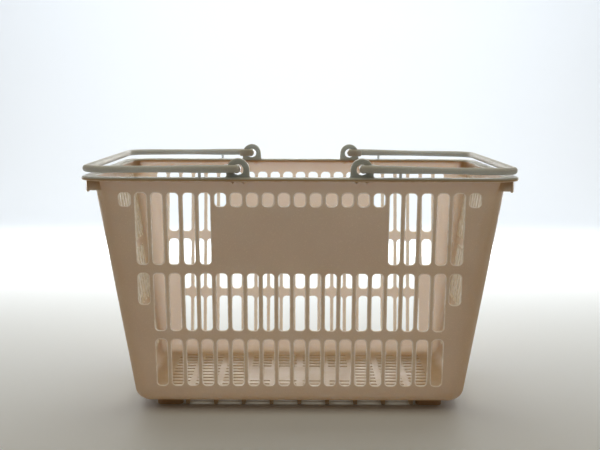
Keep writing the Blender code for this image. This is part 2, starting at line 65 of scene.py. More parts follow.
# Overall shape, as the CAD has it
RIM_LENGTH = 0.481
RIM_DEPTH = 0.3378
RIM_TOP = 0.2717
RIM_THICKNESS = 0.004
RIM_CORNER_RADIUS = 0.032
BODY_LENGTH_AT_RIM = 0.4586
BODY_DEPTH_AT_RIM = 0.3146
BODY_BOTTOM = 0.0081
WALL = 0.0025
LEAN = 0.151
CORNER_RADIUS_AT_RIM = 0.0285
CORNER_RADIUS_AT_TABLE = 0.021
BOTTOM_ROUND = 0.015
CORNER_STEPS = 12
CORNER_MARGIN = radians(5)  # how far round each corner the flat walls' sheets reach
BOTTOM_STEPS = 8
RIM_FILLET = 0.0022
RIM_FILLET_STEPS = 4
LIP_UNDER_ROUND = 0.0010
LIP_TOP_ROUND = 0.0017
LIP_STEPS = 4
MOUTH_ROUND = 0.0014

# Openings in the walls, in columns counted from the middle of each wall
SLOT_PITCH = 0.0174
SLOT_WIDTH = 0.0124
SLOT_CORNER = 0.0043
SLOT_CORNER_STEPS = 5
SLOT_EDGE_ROUND = 0.0007
SLOT_WORN_MARGIN = 0.0005  # how far onto the wall the pale edge of an opening fades out
TOP_ROW_TOP = 0.2541
SQUARE_BOTTOM = 0.2391
TOP_ROW_BOTTOM = 0.1733
MIDDLE_ROW_TOP = 0.1627
SHORT_SLOT_BOTTOM = 0.1266
MIDDLE_ROW_BOTTOM = 0.0955
BOTTOM_ROW_TOP = 0.0851
BOTTOM_ROW_BOTTOM = 0.0290
SIDE_TOP_COLUMNS = 11
SIDE_SQUARE_COLUMNS = 5
SIDE_SHORT_COLUMN = 10
SIDE_BOTTOM_COLUMNS = 9
END_TOP_COLUMNS = 6
END_LOWER_COLUMNS = 5

# Floor, its drain slots, skid ribs and feet
DRAIN_LENGTH = 0.026
DRAIN_WIDTH = 0.005
DRAIN_PITCH = 0.014
DRAIN_ROWS = 14
DRAIN_CORNER = 0.00244
DRAIN_END_STEPS = 5
RIB_PITCH = 0.0327
RIB_WIDTH = 0.0045
RIB_HALF_LENGTH = 0.098
RIB_ROUND = 0.0008
RIBS_EACH_SIDE = 4
PANEL_HALF_LENGTH = 0.064
PANEL_HALF_DEPTH = 0.033
FOOT_LENGTH = 0.030
FOOT_DEPTH = 0.014
FOOT_CENTRE = (0.1515, 0.0930)
FOOT_CORNER = 0.006
FOOT_ROUND = 0.0010

# Ears that carry the handles
EAR_X = 0.0672
EAR_Y = 0.1566
EAR_THICKNESS = 0.0052
EAR_RADIUS = 0.0124
EAR_BASE_HALF_WIDTH = 0.0128
EAR_FLARE = 0.0012
EAR_FLARE_BEND = (EAR_FLARE / 4, EAR_FLARE * 0.6)  # the flare's middle: out from the base, up from the rim
EAR_FLARE_TOP = (-0.0002, EAR_FLARE * 1.6)
EAR_SHOULDER = (0.0003, 0.55)  # out from the round head, up as a share of the hole's height
EAR_HOLE_HEIGHT = 0.0083
EAR_HOLE_RADIUS = 0.0059
EAR_EDGE_ROUND = 0.0009
EAR_STEPS = 24
WEB_SPREAD = 0.006
WEB_WIDTH = 0.0022
WEB_HEIGHT = 0.0035
WEB_REACH = 0.006

# Skirts under the rim, at the two ends
SKIRT_INSET = 0.0048
SKIRT_THICKNESS = 0.0027
SKIRT_DROP = 0.0130
SKIRT_RIB_DROP = 0.0116
SKIRT_RIB_WIDTH = 0.0025
SKIRT_END_Y = 0.149
SKIRT_EDGE_ROUND = 0.0009
SKIRT_RIBS = 6
SKIRT_STEPS = 5

# Handles
BAR_RADIUS = 0.0039
BAR_RADIUS_AT_HINGE = 0.0043
BAR_RADIUS_AT_WAIST = 0.0036
THICK_OUTWARD = 0.045
WAIST_OUTWARD = 0.090
BAR_SIDES = 28
BAR_Y = 0.1642
BAR_REACH = 0.2352
BAR_END = 0.0026
BAR_END_ROUND = 0.0022
BAR_ABOVE_HINGE = 0.0006
BEND_RADIUS = 0.026
BEND_STEPS = 16
LEFT_DROOP = radians(0.3)
RIGHT_DROOP = radians(0.85)
HINGE_OUTWARD = 0.0012
HINGE_UPWARD = 0.0006
PIN_RADIUS = 0.0042
KEY_OUTWARD = 0.0158
KEY_INWARD = 0.0035
KEY_HEIGHT = 0.0092
KEY_THICKNESS = 0.0042
KEY_CLEARANCE = 0.0006
KEY_CORNER = 0.0030
KEY_EDGE_ROUND = 0.0008
PEG_OUTWARD = 0.0398
PEG_RADIUS = 0.0017
PEG_Y = 0.1652
PEG_GAP = 0.0003
PEG_CHAMFER = 0.0003
PEG_SIDES = 16
ARM_STEPS = 12
WAIST_TO_BEND_STEPS = 4
THINNING_START = 0.6  # where an arm starts to thin, as a share of THICK_OUTWARD

EMBED = 0.001  # how far a joined detail reaches into what it joins
ROUND_STEPS = 3
SHARP_ANGLE = radians(40)
WORN_ANGLE = radians(20)
WORN_ANGLE_AT_OPENINGS = radians(14)
MERGE_DISTANCE = 1e-5
FILL_ALL = 0  # delaunay_2d_cdt's mode for triangles within the outline's whole hull
FILL_TOLERANCE = 1e-9
DEGENERATE_LENGTH = 1e-7
NORMAL_WEIGHT = 60

LEAN_ANGLE = atan(LEAN)
HINGE_X = EAR_X + HINGE_OUTWARD
HINGE_Z = RIM_TOP + EAR_HOLE_HEIGHT + HINGE_UPWARD
KEY_FACE = EAR_Y - EAR_THICKNESS / 2 - KEY_CLEARANCE
UNDER_RIM = RIM_TOP - RIM_THICKNESS
HALF_LENGTH = BODY_LENGTH_AT_RIM / 2
HALF_DEPTH = BODY_DEPTH_AT_RIM / 2
RIM_CENTRE = (RIM_LENGTH / 2 - RIM_CORNER_RADIUS, RIM_DEPTH / 2 - RIM_CORNER_RADIUS)


# Camera

CAMERA_PLACE = (0.002747, -1.282701, 0.362776)
CAMERA_YAW = radians(0.13)
CAMERA_DOWN = radians(7.245)
CAMERA_ROLL = radians(0.173)
CAMERA_FOCAL = 62.453
CAMERA_SENSOR = 36.0


def add_camera():
    """A camera that looks at the front a little from above."""
    data = bpy.data.cameras.new("camera")
    data.sensor_width = CAMERA_SENSOR
    data.lens = CAMERA_FOCAL
    camera = bpy.data.objects.new("camera", data)
    bpy.context.scene.collection.objects.link(camera)
    turned = Matrix.Rotation(CAMERA_YAW, 4, "Z") @ Matrix.Rotation(pi / 2 - CAMERA_DOWN, 4, "X")
    camera.matrix_world = Matrix.Translation(CAMERA_PLACE) @ turned @ Matrix.Rotation(CAMERA_ROLL, 4, "Z")
    bpy.context.scene.camera = camera


# Mesh building


def link_mesh(name, builder):
    """A named object from a bmesh, with its faces turned outwards."""
    bmesh.ops.recalc_face_normals(builder, faces=builder.faces)
    mesh = bpy.data.meshes.new(name)
    builder.to_mesh(mesh)
    builder.free()
    obj = bpy.data.objects.new(name, mesh)
    bpy.context.scene.collection.objects.link(obj)
    return obj


def add_loops(builder, loops, cap_first=False, cap_last=False, closed=True):
    """Skin over a row of equal loops of points, with flat caps where asked."""
    rings = [[builder.verts.new(p) for p in loop] for loop in loops]
    count = len(rings[0])
    for ring, following in zip(rings, rings[1:]):
        for i in range(count if closed else count - 1):
            j = (i + 1) % count
            builder.faces.new((ring[i], ring[j], following[j], following[i]))
    if cap_first:
        builder.faces.new(rings[0])
    if cap_last:
        builder.faces.new(rings[-1])
    return rings


def join_into(obj, builder):
    """Union of the object with the closed solids in the bmesh, applied."""
    helper = link_mesh(obj.name + "_helper", builder)
    modifier = obj.modifiers.new("join", "BOOLEAN")
    modifier.operation = "UNION"
    modifier.solver = "EXACT"
    modifier.object = helper
    graph = bpy.context.evaluated_depsgraph_get()
    joined = bpy.data.meshes.new_from_object(obj.evaluated_get(graph))
    obj.modifiers.clear()
    old = obj.data
    obj.data = joined
    bpy.data.meshes.remove(old)
    bpy.data.objects.remove(helper)


def worn_angle(place):
    """How sharp an edge there has to be to count as worn: less at the openings, and never on the floor."""
    if BODY_BOTTOM - EMBED < place.z < BODY_BOTTOM + WALL + EMBED:
        return pi
    beside_openings = BOTTOM_ROW_BOTTOM - 2 * EMBED < place.z < TOP_ROW_TOP + 2 * EMBED
    if beside_openings and abs(place.x) < HALF_LENGTH:
        return WORN_ANGLE_AT_OPENINGS
    return WORN_ANGLE


def finish_mesh(obj):
    """Smooth shading that keeps sharp edges and flat faces, and the edge_wear attribute for the material."""
    builder = bmesh.new()
    builder.from_mesh(obj.data)
    bmesh.ops.dissolve_degenerate(builder, dist=DEGENERATE_LENGTH, edges=builder.edges)
    for face in builder.faces:
        face.smooth = True
    worn = builder.verts.layers.float.new("edge_wear")
    for edge in builder.edges:
        edge.smooth = edge.calc_face_angle(0.0) < SHARP_ANGLE
        if edge.calc_face_angle_signed(0.0) > worn_angle((edge.verts[0].co + edge.verts[1].co) / 2):
            for vert in edge.verts:
                vert[worn] = 1.0
    # An inner corner doesn't wear, even where a worn edge ends in it
    for edge in builder.edges:
        if edge.calc_face_angle_signed(0.0) < -SHARP_ANGLE:
            for vert in edge.verts:
                vert[worn] = 0.0
    builder.to_mesh(obj.data)
    builder.free()
    modifier = obj.modifiers.new("normals", "WEIGHTED_NORMAL")
    modifier.keep_sharp = True
    modifier.weight = NORMAL_WEIGHT


def rounding(radius):
    """(inset, depth) pairs that turn a sharp edge into a round one of that radius."""
    turns = [pi / 2 * i / ROUND_STEPS for i in range(ROUND_STEPS + 1)]
    return [(radius * (1 - sin(t)), radius * (1 - cos(t))) for t in turns]


def rounded_box(low, high, radius, steps, grow=0.0):
    """Points round a rectangle with round corners, anticlockwise, grown by that much all round."""
    x0, y0, x1, y1 = low[0] - grow, low[1] - grow, high[0] + grow, high[1] + grow
    r = radius + grow
    corners = ((x1 - r, y1 - r, 0), (x0 + r, y1 - r, 1), (x0 + r, y0 + r, 2), (x1 - r, y0 + r, 3))
    points = []
    for cx, cy, quarter in corners:
        for i in range(steps + 1):
            turn = pi / 2 * (quarter + i / steps)
            points.append((cx + r * cos(turn), cy + r * sin(turn)))
    return points


def in_rounded_box(point, low, high, radius):
    """Whether a flat point is inside a rectangle with round corners."""
    x = max(low[0] + radius - point[0], point[0] - high[0] + radius, 0.0)
    y = max(low[1] + radius - point[1], point[1] - high[1] + radius, 0.0)
    return hypot(x, y) < radius if x and y else max(x, y) < radius


def add_holed_sheet(builder, outline, holes, place):
    """Fills an outline, but for its holes, with triangles.

    Each hole is (its outline, its rounded box), and place turns a flat point into a point in space.
    """
    flat = [Vector(p) for p in outline]
    edges = [(i, (i + 1) % len(outline)) for i in range(len(outline))]
    for ring, _ in holes:
        start = len(flat)
        flat += [Vector(p) for p in ring]
        edges += [(start + i, start + (i + 1) % len(ring)) for i in range(len(ring))]
    points, _, faces, _, _, _ = delaunay_2d_cdt(flat, edges, [], FILL_ALL, FILL_TOLERANCE)
    verts = [builder.verts.new(place(p)) for p in points]
    for face in faces:
        middle = sum((points[i] for i in face), Vector((0.0, 0.0))) / len(face)
        if not any(in_rounded_box(middle, *box) for _, box in holes):
            builder.faces.new([verts[i] for i in face])


# The body's shell


def corner_radius(z):
    """The radius in plan of the body's outer corners at that height."""
    share = z / RIM_TOP
    return CORNER_RADIUS_AT_TABLE + share * (CORNER_RADIUS_AT_RIM - CORNER_RADIUS_AT_TABLE)


def wall_inset(z):
    """How far in from its place at the rim a wall's outer face is at that height."""
    return LEAN * (RIM_TOP - z)


def corner_centre(z):
    """The centre in plan of the corner at +X and +Y, at that height."""
    inset = wall_inset(z) + corner_radius(z)
    return HALF_LENGTH - inset, HALF_DEPTH - inset


FOLD_CENTRE_Z = BODY_BOTTOM + BOTTOM_ROUND
FOLD_CENTRE_INSET = wall_inset(FOLD_CENTRE_Z) + BOTTOM_ROUND / cos(LEAN_ANGLE)
FOLD_TOP = FOLD_CENTRE_Z - BOTTOM_ROUND * sin(LEAN_ANGLE)
OUTER_TOP = UNDER_RIM - RIM_FILLET
INNER_TOP = RIM_TOP - MOUTH_ROUND
INNER_STEP = WALL / cos(LEAN_ANGLE)
CORNER_TURNS = [0.0] + [CORNER_MARGIN + (pi / 2 - 2 * CORNER_MARGIN) * i / CORNER_STEPS
                        for i in range(CORNER_STEPS + 1)] + [pi / 2]


def plan_loop(inset, centre, z):
    """A closed loop round the whole body: straight sides between four corner arcs about that centre."""
    radius = HALF_LENGTH - inset - centre[0]
    points = []
    for quarter, (side_x, side_y) in enumerate(((1, 1), (-1, 1), (-1, -1), (1, -1))):
        for turn in CORNER_TURNS:
            turn += quarter * pi / 2
            x, y = side_x * centre[0] + radius * cos(turn), side_y * centre[1] + radius * sin(turn)
            points.append((x, y, z))
    return points


def corner_strips(builder, upper, lower):
    """Faces at the four corners between two loops; the flat walls' sheets fill the rest."""
    top = [builder.verts.new(p) for p in upper]
    bottom = [builder.verts.new(p) for p in lower]
    for corner in range(4):
        first = corner * len(CORNER_TURNS) + 1
        for i in range(first, first + CORNER_STEPS):
            builder.faces.new((top[i], top[i + 1], bottom[i + 1], bottom[i]))


def wall_corners(builder):
    """The four ruled corners of the outer and the inner skin."""
    fold_centre = corner_centre(FOLD_TOP)
    outer_foot = plan_loop(wall_inset(FOLD_TOP), fold_centre, FOLD_TOP)
    inner_foot = plan_loop(wall_inset(FOLD_TOP) + WALL * cos(LEAN_ANGLE), fold_centre,
                           FOLD_TOP + WALL * sin(LEAN_ANGLE))
    outer_head = plan_loop(wall_inset(OUTER_TOP), corner_centre(OUTER_TOP), OUTER_TOP)
    inner_head = plan_loop(wall_inset(INNER_TOP) + INNER_STEP, corner_centre(INNER_TOP), INNER_TOP)
    corner_strips(builder, outer_head, outer_foot)
    corner_strips(builder, inner_head, inner_foot)


def fold_loops(radius):
    """Loops round the rounded bottom edge, from the walls down to the floor."""
    loops = []
    for step in range(BOTTOM_STEPS + 1):
        turn = -LEAN_ANGLE - (pi / 2 - LEAN_ANGLE) * step / BOTTOM_STEPS
        inset = FOLD_CENTRE_INSET - radius * cos(turn)
        loops.append(plan_loop(inset, corner_centre(FOLD_TOP), FOLD_CENTRE_Z + radius * sin(turn)))
    return loops


def rim_profile():
    """The flange's steps from the outer wall round to the inner one.

    Each is (what the inset is measured from, inset, corner centre, height).
    """
    low = corner_centre(OUTER_TOP)
    inside = corner_centre(INNER_TOP)
    steps = []
    for i in range(RIM_FILLET_STEPS + 1):
        turn = pi / 2 * i / RIM_FILLET_STEPS
        steps.append(("body", wall_inset(OUTER_TOP) - RIM_FILLET * (1 - cos(turn)), low,
                      OUTER_TOP + RIM_FILLET * sin(turn)))
    for i in range(LIP_STEPS + 1):
        turn = pi / 2 * i / LIP_STEPS
        steps.append(("rim", LIP_UNDER_ROUND * (1 - sin(turn)), RIM_CENTRE,
                      UNDER_RIM + LIP_UNDER_ROUND * (1 - cos(turn))))
    for i in range(LIP_STEPS + 1):
        turn = pi / 2 * i / LIP_STEPS
        steps.append(("rim", LIP_TOP_ROUND * (1 - cos(turn)), RIM_CENTRE,
                      RIM_TOP - LIP_TOP_ROUND * (1 - sin(turn))))
    edge = wall_inset(INNER_TOP) + INNER_STEP
    for i in range(LIP_STEPS + 1):
        turn = pi / 2 * i / LIP_STEPS
        steps.append(("body", edge - MOUTH_ROUND * (1 - sin(turn)), inside,
                      RIM_TOP - MOUTH_ROUND * (1 - cos(turn))))
    return steps


def rim_loop(edge, inset, centre, z):
    """One step of the rim's profile as a loop round the body."""
    if edge == "body":
        return plan_loop(inset, centre, z)
    return plan_loop(inset - (RIM_LENGTH / 2 - HALF_LENGTH), centre, z)


def side_openings():
    """(column, bottom, top) of each opening in a long wall."""
    for column in range(-SIDE_TOP_COLUMNS, SIDE_TOP_COLUMNS + 1):
        square = abs(column) <= SIDE_SQUARE_COLUMNS or abs(column) == SIDE_TOP_COLUMNS
        yield column, SQUARE_BOTTOM if square else TOP_ROW_BOTTOM, TOP_ROW_TOP
    for column in range(-SIDE_SHORT_COLUMN, SIDE_SHORT_COLUMN + 1):
        short = abs(column) == SIDE_SHORT_COLUMN
        yield column, SHORT_SLOT_BOTTOM if short else MIDDLE_ROW_BOTTOM, MIDDLE_ROW_TOP
    for column in range(-SIDE_BOTTOM_COLUMNS, SIDE_BOTTOM_COLUMNS + 1):
        yield column, BOTTOM_ROW_BOTTOM, BOTTOM_ROW_TOP


def end_openings():
    """(column, bottom, top) of each opening in an end wall."""
    rows = ((END_TOP_COLUMNS, TOP_ROW_BOTTOM, TOP_ROW_TOP),
            (END_LOWER_COLUMNS, MIDDLE_ROW_BOTTOM, MIDDLE_ROW_TOP),
            (END_LOWER_COLUMNS, BOTTOM_ROW_BOTTOM, BOTTOM_ROW_TOP))
    for widest, bottom, top in rows:
        for column in range(-widest, widest + 1):
            yield column, bottom, top


def opening_boxes(openings):
    """The lowest and highest corners of each opening, as (across, height)."""
    half = SLOT_WIDTH / 2
    return [((c * SLOT_PITCH - half, low), (c * SLOT_PITCH + half, high)) for c, low, high in openings]


def add_slot_sides(builder, low, high, place):
    """The inside of one opening with its rounded edges.

    place turns (across, height, depth into the wall) into a point in space.
    """
    edge = [(SLOT_EDGE_ROUND + SLOT_WORN_MARGIN, 0.0)] + rounding(SLOT_EDGE_ROUND)
    stations = [(grow, depth, False) for grow, depth in edge]
    stations += [(grow, depth, True) for grow, depth in reversed(edge)]
    loops = []
    for grow, depth, from_inside in stations:
        outline = rounded_box(low, high, SLOT_CORNER, SLOT_CORNER_STEPS, grow)
        shift = INNER_STEP - depth if from_inside else depth
        loops.append([place(a, z, shift) for a, z in outline])
    add_loops(builder, loops)


def corner_drop(across, z, depth, axis):
    """How far the skin at that depth has curved away from the flat wall where it starts round a corner."""
    past = max(abs(across) - corner_centre(z)[axis], 0.0)
    radius = corner_radius(z) - depth
    return radius - sqrt(radius * radius - past * past)


def sheet_outline(inside, axis):
    """The edge of a wall's sheet, with points where it starts round the corners."""
    if inside:
        ends = ((FOLD_TOP + WALL * sin(LEAN_ANGLE), corner_centre(FOLD_TOP)[axis],
                 corner_radius(FOLD_TOP) - WALL * cos(LEAN_ANGLE)),
                (INNER_TOP, corner_centre(INNER_TOP)[axis], corner_radius(INNER_TOP) - INNER_STEP))
    else:
        ends = ((FOLD_TOP, corner_centre(FOLD_TOP)[axis], corner_radius(FOLD_TOP)),
                (OUTER_TOP, corner_centre(OUTER_TOP)[axis], corner_radius(OUTER_TOP)))
    (foot, low_centre, low_radius), (head, high_centre, high_radius) = ends
    low = low_centre + low_radius * sin(CORNER_MARGIN)
    high = high_centre + high_radius * sin(CORNER_MARGIN)
    return [(-low, foot), (-low_centre, foot), (low_centre, foot), (low, foot),
            (high, head), (high_centre, head), (-high_centre, head), (-high, head)]


def add_wall(builder, openings, place, axis):
    """One flat wall with its openings, both skins.

    axis is the one that the wall runs along: 0 for X, 1 for Y.
    """
    boxes = opening_boxes(openings)
    grow = SLOT_EDGE_ROUND + SLOT_WORN_MARGIN
    margin = Vector((grow, grow))
    for inside in (False, True):
        outline = sheet_outline(inside, axis)
        holes = [(rounded_box(low, high, SLOT_CORNER, SLOT_CORNER_STEPS, grow),
                  (Vector(low) - margin, Vector(high) + margin, SLOT_CORNER + grow)) for low, high in boxes]
        depth = INNER_STEP if inside else 0.0
        add_holed_sheet(builder, outline, holes, lambda p: place(p[0], p[1], depth))
    for low, high in boxes:
        add_slot_sides(builder, low, high, place)


def add_walls(builder):
    """The two long walls and the two end walls."""
    for side in (-1, 1):
        def long_wall(across, z, depth):
            inset = wall_inset(z) + depth + corner_drop(across, z, depth, 0)
            return across, side * (HALF_DEPTH - inset), z

        def end_wall(across, z, depth):
            inset = wall_inset(z) + depth + corner_drop(across, z, depth, 1)
            return side * (HALF_LENGTH - inset), across, z

        add_wall(builder, list(side_openings()), long_wall, 0)
        add_wall(builder, list(end_openings()), end_wall, 1)


def drain_boxes():
    """The lowest and highest corners, in plan, of each drain slot round the floor's plain panel."""
    boxes = []
    for column in range(-RIBS_EACH_SIDE - 1, RIBS_EACH_SIDE + 1):
        x = (column + 0.5) * RIB_PITCH
        for row in range(DRAIN_ROWS):
            y = (row - (DRAIN_ROWS - 1) / 2) * DRAIN_PITCH
            if abs(x) < PANEL_HALF_LENGTH and abs(y) < PANEL_HALF_DEPTH:
                continue
            boxes.append(((x - DRAIN_LENGTH / 2, y - DRAIN_WIDTH / 2),
                          (x + DRAIN_LENGTH / 2, y + DRAIN_WIDTH / 2)))
    return boxes


def add_floor(builder, lower, upper):
    """Both faces of the floor inside those two loops, and the sides of its drain slots."""
    holes = [(rounded_box(low, high, DRAIN_CORNER, DRAIN_END_STEPS), (low, high, DRAIN_CORNER))
             for low, high in drain_boxes()]
    for loop, z in ((lower, BODY_BOTTOM), (upper, BODY_BOTTOM + WALL)):
        add_holed_sheet(builder, [(x, y) for x, y, _ in loop], holes, lambda p: (p[0], p[1], z))
    for outline, _ in holes:
        add_loops(builder, [[(x, y, z) for x, y in outline] for z in (BODY_BOTTOM, BODY_BOTTOM + WALL)])


def body_shell():
    """The closed shell: walls with their openings, corners, bottom edge, floor and flange."""
    builder = bmesh.new()
    add_walls(builder)
    wall_corners(builder)
    outer_fold = fold_loops(BOTTOM_ROUND)
    inner_fold = fold_loops(BOTTOM_ROUND - WALL)
    add_loops(builder, outer_fold)
    add_loops(builder, inner_fold)
    add_floor(builder, outer_fold[-1], inner_fold[-1])
    add_loops(builder, [rim_loop(*step) for step in rim_profile()])
    bmesh.ops.remove_doubles(builder, verts=builder.verts, dist=MERGE_DISTANCE)
    return builder


# Details joined to the shell


def past_corner(y, centre, radius):
    """How far out along X a rounded end reaches at that y."""
    beyond = max(abs(y) - centre[1], 0.0)
    return centre[0] + sqrt(radius * radius - beyond * beyond)


def skirt_plan(inset, side, z):
    """A line along one end of the rim and round part of its corners, that far inside its edge."""
    radius = RIM_CORNER_RADIUS - inset
    reach = asin((SKIRT_END_Y - RIM_CENTRE[1]) / (RIM_CORNER_RADIUS - SKIRT_INSET))
    turns = [reach * (1 - i / SKIRT_STEPS) for i in range(SKIRT_STEPS + 1)]
    half = [(RIM_CENTRE[0] + radius * cos(t), RIM_CENTRE[1] + radius * sin(t)) for t in turns]
    return [(side * x, y, z) for x, y in half + [(x, -y) for x, y in reversed(half)]]


def add_skirt(builder, side):
    """A skirt below one end of the rim, with a rounded lower edge."""
    bottom = UNDER_RIM - SKIRT_DROP
    section = [(SKIRT_INSET, UNDER_RIM + EMBED)]
    section += [(SKIRT_INSET + inset, bottom + depth) for depth, inset in rounding(SKIRT_EDGE_ROUND)]
    section += [(SKIRT_INSET + SKIRT_THICKNESS - inset, bottom + depth)
                for depth, inset in reversed(rounding(SKIRT_EDGE_ROUND))]
    section.append((SKIRT_INSET + SKIRT_THICKNESS, UNDER_RIM + EMBED))
    lines = [skirt_plan(inset, side, z) for inset, z in section]
    add_loops(builder, [list(ring) for ring in zip(*lines)], True, True)


def add_skirt_web(builder, y, side):
    """A web from inside the skirt back into the body's wall."""
    low, high = UNDER_RIM - SKIRT_RIB_DROP, UNDER_RIM + EMBED
    skirt_radius = RIM_CORNER_RADIUS - SKIRT_INSET - SKIRT_THICKNESS / 2
    loops = []
    for edge in (y - SKIRT_RIB_WIDTH / 2, y + SKIRT_RIB_WIDTH / 2):
        ring = []
        for z, ends in ((low, (0, 1)), (high, (1, 0))):
            root = past_corner(edge, corner_centre(z), corner_radius(z)) - EMBED
            tip = past_corner(edge, RIM_CENTRE, skirt_radius)
            ring += [(side * (root, tip)[end], edge, z) for end in ends]
        loops.append(ring)
    add_loops(builder, loops, True, True)


def ear_outline(inset):
    """The ear from the side, about its own middle: its base is sunk a little into the rim."""
    half = [(EAR_BASE_HALF_WIDTH + EAR_FLARE, -EMBED),
            (EAR_BASE_HALF_WIDTH + EAR_FLARE, 0.0),
            (EAR_BASE_HALF_WIDTH + EAR_FLARE_BEND[0], EAR_FLARE_BEND[1]),
            (EAR_BASE_HALF_WIDTH + EAR_FLARE_TOP[0], EAR_FLARE_TOP[1]),
            (EAR_RADIUS + EAR_SHOULDER[0], EAR_HOLE_HEIGHT * EAR_SHOULDER[1])]
    points = [(x - inset, z) for x, z in half]
    for i in range(EAR_STEPS + 1):
        turn = pi * i / EAR_STEPS
        points.append(((EAR_RADIUS - inset) * cos(turn), EAR_HOLE_HEIGHT + (EAR_RADIUS - inset) * sin(turn)))
    points += [(-x + inset, z) for x, z in reversed(half)]
    points += [(x, -EMBED) for x in (-EAR_RADIUS / 2, 0.0, EAR_RADIUS / 2)]
    return points


def add_ear(builder, side_x, side_y):
    """An upright ear with rounded edges and a round hole."""
    half = EAR_THICKNESS / 2
    rows = [(inset, -half + depth) for inset, depth in rounding(EAR_EDGE_ROUND)]
    rows += [(inset, half - depth) for inset, depth in reversed(rounding(EAR_EDGE_ROUND))]
    middle = Vector((0.0, EAR_HOLE_HEIGHT))
    rays = [(Vector(p) - middle).normalized() for p in ear_outline(0.0)]

    def place(x, y, z):
        return side_x * EAR_X + x, side_y * EAR_Y + y, RIM_TOP + z

    outside = [[place(x, y, z) for x, z in ear_outline(inset)] for inset, y in rows]
    hole = []
    for inset, y in rows:
        radius = EAR_HOLE_RADIUS + inset
        hole.append([place(ray.x * radius, y, EAR_HOLE_HEIGHT + ray.y * radius) for ray in rays])
    add_loops(builder, outside + list(reversed(hole)) + [outside[0]])


def add_ear_webs(builder, side_x, side_y):
    """Two small three-cornered webs under an ear."""
    top = UNDER_RIM + EMBED
    root = HALF_DEPTH - wall_inset(UNDER_RIM) - EMBED
    foot = UNDER_RIM - WEB_HEIGHT
    outline = [(root, top), (root + WEB_REACH + EMBED, top), (root + WEB_REACH + EMBED, UNDER_RIM),
               (root + EMBED / 2 - LEAN * WEB_HEIGHT, foot), (root - 2 * EMBED, foot)]
    for offset in (-WEB_SPREAD, WEB_SPREAD):
        near = side_x * EAR_X + offset - WEB_WIDTH / 2
        loops = [[(x, side_y * y, z) for y, z in outline] for x in (near, near + WEB_WIDTH)]
        add_loops(builder, loops, True, True)


def add_rib(builder, x):
    """A skid rib under the floor, rounded along its lower edges."""
    levels = [(inset, depth) for inset, depth in rounding(RIB_ROUND)] + [(0.0, BODY_BOTTOM + WALL / 2)]
    loops = []
    for inset, z in levels:
        reach, half = RIB_HALF_LENGTH - inset, RIB_WIDTH / 2 - inset
        loops.append([(x - half, -reach, z), (x + half, -reach, z),
                      (x + half, reach, z), (x - half, reach, z)])
    add_loops(builder, loops, True, True)


def add_foot(builder, side_x, side_y):
    """A foot with round corners and a rounded lower edge."""
    levels = [(inset, depth) for inset, depth in rounding(FOOT_ROUND)] + [(0.0, BODY_BOTTOM + WALL / 2)]
    loops = []
    for inset, z in levels:
        outline = rounded_box((-FOOT_LENGTH / 2, -FOOT_DEPTH / 2), (FOOT_LENGTH / 2, FOOT_DEPTH / 2),
                              FOOT_CORNER, DRAIN_END_STEPS, -inset)
        loops.append([(side_x * FOOT_CENTRE[0] + x, side_y * FOOT_CENTRE[1] + y, z) for x, y in outline])
    add_loops(builder, loops, True, True)


def make_body():
    """The whole basket but for its handles, as one closed mesh."""
    body = link_mesh("basket_body_moulding", body_shell())
    skirts = bmesh.new()
    for side in (-1, 1):
        add_skirt(skirts, side)
    join_into(body, skirts)
    details = bmesh.new()
    for side in (-1, 1):
        for i in range(SKIRT_RIBS):
            y = (SKIRT_END_Y - SKIRT_RIB_WIDTH / 2) * (2 * i / (SKIRT_RIBS - 1) - 1)
            add_skirt_web(details, y, side)
    for column in range(-RIBS_EACH_SIDE, RIBS_EACH_SIDE + 1):
        add_rib(details, column * RIB_PITCH)
    for side_x in (-1, 1):
        for side_y in (-1, 1):
            add_ear(details, side_x, side_y)
            add_ear_webs(details, side_x, side_y)
            add_foot(details, side_x, side_y)
    join_into(body, details)
    finish_mesh(body)
    return body


# Handles


def blend_radius(outward):
    """The arm's radius at that distance from the hinge."""
    start = THICK_OUTWARD * THINNING_START
    share = min(max((outward - start) / (WAIST_OUTWARD - start), 0.0), 1.0)
    eased = share * share * (3 - 2 * share)
    return BAR_RADIUS_AT_HINGE + (BAR_RADIUS_AT_WAIST - BAR_RADIUS_AT_HINGE) * eased


def bar_path():
    """The handle's centreline, from the back ear round to the front: (outward from the hinge, y, radius)."""
    corner = (BAR_REACH - HINGE_X - BEND_RADIUS, BAR_Y - BEND_RADIUS)
    half = []
    for i in range(ROUND_STEPS + 2):
        turn = pi / 2 * i / (ROUND_STEPS + 1)
        half.append((-BAR_END + BAR_END_ROUND * (1 - cos(turn)), BAR_Y,
                     BAR_RADIUS_AT_HINGE - BAR_END_ROUND * (1 - sin(turn))))
    for i in range(1, ARM_STEPS + 1):
        outward = WAIST_OUTWARD * i / ARM_STEPS
        half.append((outward, BAR_Y, blend_radius(outward)))
    for i in range(1, WAIST_TO_BEND_STEPS):
        share = i / WAIST_TO_BEND_STEPS
        half.append((WAIST_OUTWARD + (corner[0] - WAIST_OUTWARD) * share, BAR_Y,
                     BAR_RADIUS_AT_WAIST + (BAR_RADIUS - BAR_RADIUS_AT_WAIST) * share))
    for i in range(BEND_STEPS + 1):
        turn = pi / 2 - pi / 2 * i / BEND_STEPS
        half.append((corner[0] + BEND_RADIUS * cos(turn), corner[1] + BEND_RADIUS * sin(turn), BAR_RADIUS))
    return half + [(x, -y, radius) for x, y, radius in reversed(half)]


